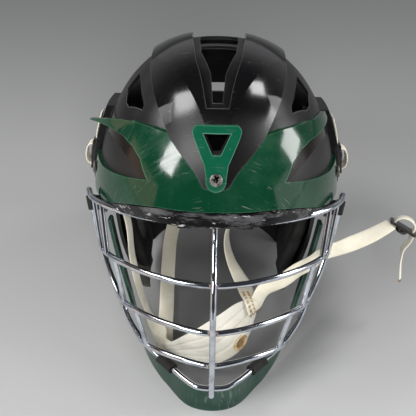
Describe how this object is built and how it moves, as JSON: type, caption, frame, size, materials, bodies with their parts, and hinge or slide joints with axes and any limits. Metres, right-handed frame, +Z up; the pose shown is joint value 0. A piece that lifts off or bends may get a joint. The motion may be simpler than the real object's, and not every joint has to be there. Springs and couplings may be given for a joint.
{
  "type": "lacrosse helmet",
  "caption": "Lacrosse helmet: hard crown shell, green visor and chin guard, chromed wire face mask, ear flaps, liner pads and webbing chin straps with a padded cup.",
  "frame": {"origin": "on the floor plane, on the plane of symmetry, midway between the chin guard's contact and the rear corners", "axes": "+Z up, -Y towards the front of the helmet, +X to the right as seen from the front; the helmet leans back as it stands"},
  "size_m": [0.3112, 0.3262, 0.2565],
  "materials": {
    "shell_black": "semi-gloss moulded plastic, scuffed",
    "panel_black": "high gloss",
    "visor_green": "gloss paint with scratches",
    "trim_green": "gloss",
    "pocket_black": "dull grained",
    "lip_black": "worn satin",
    "rubber": "matt",
    "chrome_wire": "polished, rust at the welds",
    "guard_green": "satin plastic with scratches",
    "flap_black": "satin",
    "foam": "closed-cell foam in knit cover",
    "fit_black": "satin",
    "screw_steel": "worn steel",
    "stud_steel": "dark nickel",
    "buckle_black": "satin",
    "webbing": "flat woven webbing",
    "cup_cloth": "stitched cloth over foam",
    "eyelet_tan": "bound edge",
    "snap_black": "gloss black enamel"
  },
  "bodies": {
    "helmet": {"brow_lip": "lip_black", "cheek_pad_left": "foam", "cheek_pad_right": "foam", "chin_guard": "guard_green", "crown_panel": "panel_black", "ear_flap_left": "flap_black", "ear_flap_right": "flap_black", "flap_screws": "screw_steel", "front_screw": "screw_steel", "front_vent_trim": "trim_green", "knob_base": "fit_black", "mask_bar_brow": "chrome_wire", "mask_bar_lower": "chrome_wire", "mask_bar_middle": "chrome_wire", "mask_bar_upper": "chrome_wire", "mask_centre_bar": "chrome_wire", "mask_clip_brow_left": "rubber", "mask_clip_brow_right": "rubber", "mask_clip_temple_left": "rubber", "mask_clip_temple_right": "rubber", "mask_jaw_wire": "chrome_wire", "mask_sleeve_left": "rubber", "mask_sleeve_right": "rubber", "mask_struts_left": "chrome_wire", "mask_struts_right": "chrome_wire", "pad_crown_left": "foam", "pad_crown_right": "foam", "pad_front": "foam", "pad_rear": "foam", "pad_side_left": "foam", "pad_side_right": "foam", "rear_snap": "stud_steel", "shell": "shell_black", "side_cover_left": "shell_black", "side_cover_right": "shell_black", "side_pocket_left": "pocket_black", "side_pocket_right": "pocket_black", "strap_free_inner": "webbing", "strap_post_left": "stud_steel", "strap_post_right": "stud_steel", "strap_rear_left": "webbing", "temple_stud_left": "stud_steel", "temple_stud_right": "stud_steel", "visor": "visor_green", "visor_screws": "screw_steel"},
    "chin_set": {"chin_cup": "cup_cloth", "cup_eyelet": "eyelet_tan", "strap_high_left": "webbing", "strap_high_right": "webbing"},
    "free_end": {"strap_free_outer": "webbing"},
    "free_end_buckle": {"free_buckle": "buckle_black", "free_snap": "snap_black", "free_webbing": "webbing"},
    "temple_left": {"temple_buckle_left": "buckle_black", "temple_webbing_left": "webbing"},
    "temple_right": {"temple_buckle_right": "buckle_black", "temple_webbing_right": "webbing"},
    "knob": {"fit_knob": "fit_black"},
    "cradle": {"nape_cradle": "fit_black"}
  },
  "joints": [
    {"name": "chin_swing", "type": "hinge", "parent": "helmet", "child": "chin_set", "pos_m": [0, 0.01845, 0.13921], "axis": [-1, 0, 0], "range_deg": [0, 6], "deforming": ["strap_rear_left", "strap_free_inner"]},
    {"name": "free_strap_swing", "type": "hinge", "parent": "helmet", "child": "free_end", "pos_m": [0.09872, -0.00446, 0.08874], "axis": [0, 0, 1], "range_deg": [-4, 18]},
    {"name": "free_buckle_tilt", "type": "hinge", "parent": "free_end", "child": "free_end_buckle", "pos_m": [0.1625, 0.0313, 0.09453], "axis": [-0.12, -0.8803, 0.459], "range_deg": [0, 25]},
    {"name": "temple_left_turn", "type": "hinge", "parent": "helmet", "child": "temple_left", "pos_m": [-0.11156, 0.0822, 0.1333], "axis": [-0.9947, 0.0787, 0.0669], "range_deg": [-12, 12]},
    {"name": "temple_right_turn", "type": "hinge", "parent": "helmet", "child": "temple_right", "pos_m": [0.11156, 0.0822, 0.1333], "axis": [0.9947, 0.0787, 0.0669], "range_deg": [-12, 12]},
    {"name": "knob_turn", "type": "hinge", "parent": "helmet", "child": "knob", "pos_m": [0, 0.17839, 0.02765], "axis": [0, 0.9625, -0.2713], "range_deg": [0, 360]},
    {"name": "cradle_slide", "type": "slide", "parent": "helmet", "child": "cradle", "axis": [0, -0.9625, 0.2713], "range_m": [0, 0.01]}
  ],
  "couplings": [
    {"joint": "cradle_slide", "follows": "knob_turn", "m_per_rad": 0.00159}
  ]
}
